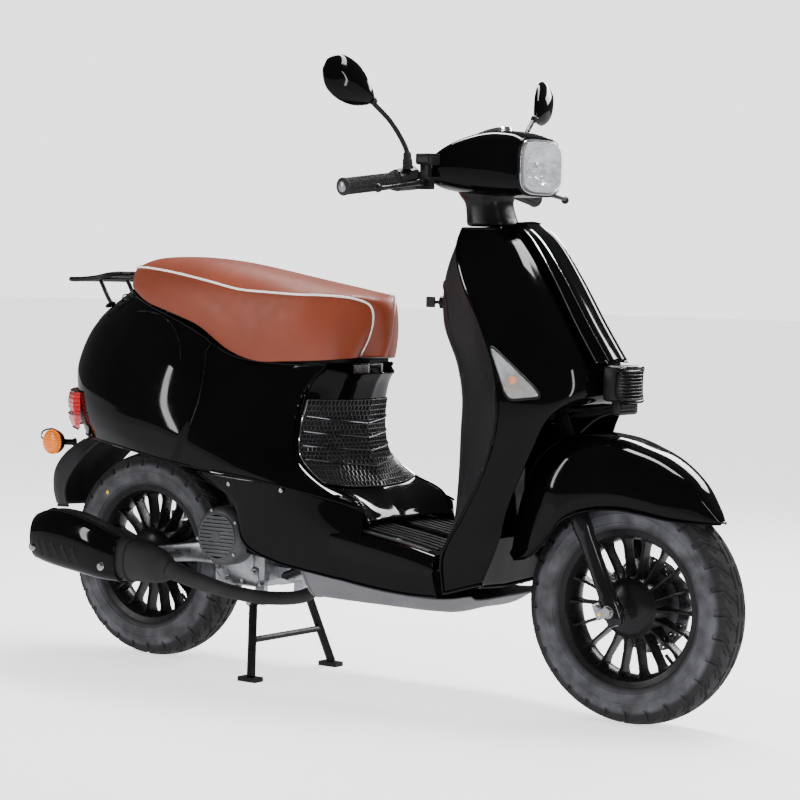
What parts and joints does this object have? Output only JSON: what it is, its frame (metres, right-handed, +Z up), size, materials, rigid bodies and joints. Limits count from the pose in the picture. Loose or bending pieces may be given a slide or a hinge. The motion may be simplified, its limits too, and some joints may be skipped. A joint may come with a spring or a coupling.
{
  "type": "moped scooter",
  "caption": "Step-through scooter with gloss bodywork, tan seat, swinging engine unit, telescopic fork, mirrors, rear rack and a centre stand.",
  "frame": {"origin": "centre of the bounding box in plan, on the ground", "axes": "+X forwards, +Y to the rider's left, +Z up"},
  "size_m": [1.79, 0.8068, 1.2981],
  "materials": {
    "satin_black": "satin black paint",
    "gloss_black": "high-gloss black",
    "grey_plastic": "fine-grained dark grey",
    "tan_leather": "smooth tan",
    "rubber": "matte black",
    "tyre_rubber": "matte dark grey",
    "black_alloy": "painted black",
    "cast_alloy": "bare cast and turned metal",
    "disc_steel": "ground",
    "chrome_trim": "polished",
    "shroud_grey": "silver-grey paint",
    "clear_lens": "clear",
    "red_lens": "transparent red",
    "amber_lens": "transparent amber",
    "red_plastic": "red"
  },
  "bodies": {
    "chassis": {"main_frame": "satin_black", "rear_rack": "satin_black", "legshield_outer": "gloss_black", "front_centre_cover": "gloss_black", "floorboard": "gloss_black", "side_cowl_right": "gloss_black", "side_cowl_left": "gloss_black", "seat_front_cover": "gloss_black", "legshield_inner": "grey_plastic", "belly_pan": "grey_plastic", "rear_mudguard": "grey_plastic", "storage_bucket": "grey_plastic", "fuel_tank": "grey_plastic", "tail_light": "red_lens", "rear_indicator_right": "amber_lens", "rear_indicator_left": "amber_lens", "front_indicator_right": "clear_lens", "front_indicator_left": "clear_lens", "ignition_lock": "chrome_trim", "bag_hook": "chrome_trim", "seat_hinge": "cast_alloy"},
    "seat": {"seat_cushion": "tan_leather", "seat_base": "grey_plastic"},
    "steering": {"steering_fork": "satin_black", "handlebar": "satin_black", "mirror_stem_right": "satin_black", "mirror_stem_left": "satin_black", "headset_cover": "gloss_black", "front_fender": "gloss_black", "headlight": "clear_lens", "speedometer": "clear_lens", "left_grip": "rubber", "switch_housing_right": "grey_plastic", "switch_housing_left": "grey_plastic"},
    "throttle": {"throttle_grip": "rubber"},
    "brake_lever_right_body": {"brake_lever_right": "satin_black"},
    "brake_lever_left_body": {"brake_lever_left": "satin_black"},
    "mirror_right_head": {"mirror_right": "gloss_black"},
    "mirror_left_head": {"mirror_left": "gloss_black"},
    "start_button_cap": {"start_button": "red_plastic"},
    "indicator_switch_cap": {"indicator_switch": "grey_plastic"},
    "key": {"ignition_key": "cast_alloy"},
    "fork_sliders": {"fork_slider_right": "satin_black", "fork_slider_left": "satin_black", "front_axle": "cast_alloy", "brake_caliper": "cast_alloy"},
    "front_wheel": {"front_rim": "black_alloy", "front_tyre": "tyre_rubber", "brake_disc": "disc_steel"},
    "swing_unit": {"engine_case": "cast_alloy", "fan_cover": "shroud_grey", "exhaust": "satin_black", "heat_shield": "gloss_black"},
    "kick_starter": {"kick_lever": "cast_alloy"},
    "stand": {"centre_stand": "satin_black"},
    "rear_wheel": {"rear_rim": "black_alloy", "rear_tyre": "tyre_rubber", "rear_axle": "cast_alloy"},
    "shock_upper": {"shock_body": "satin_black"},
    "shock_lower": {"shock_rod": "cast_alloy"}
  },
  "joints": [
    {"name": "steering", "type": "hinge", "parent": "chassis", "child": "steering", "pos_m": [0.3406, 0, 0.9078], "axis": [-0.4147, 0, 0.91], "range_deg": [-38, 38]},
    {"name": "fork_slide", "type": "slide", "parent": "steering", "child": "fork_sliders", "axis": [-0.4147, 0, 0.91], "range_m": [0, 0.03], "stiffness_N_per_m": 12000, "springref_m": -0.035},
    {"name": "front_wheel_spin", "type": "hinge", "parent": "fork_sliders", "child": "front_wheel", "pos_m": [0.664, 0, 0.231], "axis": [0, 1, 0], "continuous": true},
    {"name": "rear_swing", "type": "hinge", "parent": "chassis", "child": "swing_unit", "pos_m": [-0.151, 0, 0.225], "axis": [0, 1, 0], "range_deg": [0, 6], "stiffness_Nm_per_rad": 2400, "springref_deg": -3.44},
    {"name": "rear_wheel_spin", "type": "hinge", "parent": "swing_unit", "child": "rear_wheel", "pos_m": [-0.586, 0, 0.231], "axis": [0, 1, 0], "continuous": true},
    {"name": "shock_pivot", "type": "hinge", "parent": "chassis", "child": "shock_upper", "pos_m": [-0.576, 0.118, 0.592], "axis": [0, 1, 0], "range_deg": [-1, 1]},
    {"name": "shock_slide", "type": "slide", "parent": "shock_upper", "child": "shock_lower", "axis": [0.1587, 0, 0.9873], "range_m": [-0.001, 0.052]},
    {"name": "centre_stand_pivot", "type": "hinge", "parent": "swing_unit", "child": "stand", "pos_m": [-0.231, 0, 0.165], "axis": [0, 1, 0], "range_deg": [0, 95]},
    {"name": "kick_starter_pivot", "type": "hinge", "parent": "swing_unit", "child": "kick_starter", "pos_m": [-0.391, 0.13, 0.262], "axis": [0, -1, 0], "range_deg": [0, 40], "stiffness_Nm_per_rad": 3, "springref_deg": -20.05},
    {"name": "seat_hinge_turn", "type": "hinge", "parent": "chassis", "child": "seat", "pos_m": [0.009, 0, 0.68], "axis": [0, 1, 0], "range_deg": [0, 60]},
    {"name": "throttle_turn", "type": "hinge", "parent": "steering", "child": "throttle", "pos_m": [0.204, -0.205, 1.06], "axis": [-0.1597, -0.9794, -0.1238], "range_deg": [0, 70], "stiffness_Nm_per_rad": 0.5, "springref_deg": -5.73},
    {"name": "brake_lever_right_pivot", "type": "hinge", "parent": "steering", "child": "brake_lever_right_body", "pos_m": [0.252, -0.176, 1.056], "axis": [0, 0, -1], "range_deg": [0, 15], "stiffness_Nm_per_rad": 2, "springref_deg": -5.73},
    {"name": "brake_lever_left_pivot", "type": "hinge", "parent": "steering", "child": "brake_lever_left_body", "pos_m": [0.252, 0.176, 1.056], "axis": [0, 0, 1], "range_deg": [0, 15], "stiffness_Nm_per_rad": 2, "springref_deg": -5.73},
    {"name": "mirror_right_swivel", "type": "hinge", "parent": "steering", "child": "mirror_right_head", "pos_m": [0.211, -0.29, 1.212], "axis": [0, 0, 1], "range_deg": [-25, 25]},
    {"name": "mirror_left_swivel", "type": "hinge", "parent": "steering", "child": "mirror_left_head", "pos_m": [0.211, 0.29, 1.212], "axis": [0, 0, 1], "range_deg": [-25, 25]},
    {"name": "start_button_press", "type": "slide", "parent": "steering", "child": "start_button_cap", "axis": [0.9, 0, -0.436], "range_m": [0, 0.0025], "stiffness_N_per_m": 300, "springref_m": -0.002},
    {"name": "indicator_switch_press", "type": "slide", "parent": "steering", "child": "indicator_switch_cap", "axis": [0.9, 0, -0.436], "range_m": [0, 0.0025], "stiffness_N_per_m": 300, "springref_m": -0.002},
    {"name": "ignition_key_turn", "type": "hinge", "parent": "chassis", "child": "key", "pos_m": [0.2155, -0.028, 0.818], "axis": [-0.96, -0.28, 0], "range_deg": [0, 90]}
  ],
  "couplings": [
    {"joint": "shock_pivot", "follows": "rear_swing", "ratio": -0.04},
    {"joint": "shock_slide", "follows": "rear_swing", "m_per_rad": 0.4778}
  ]
}
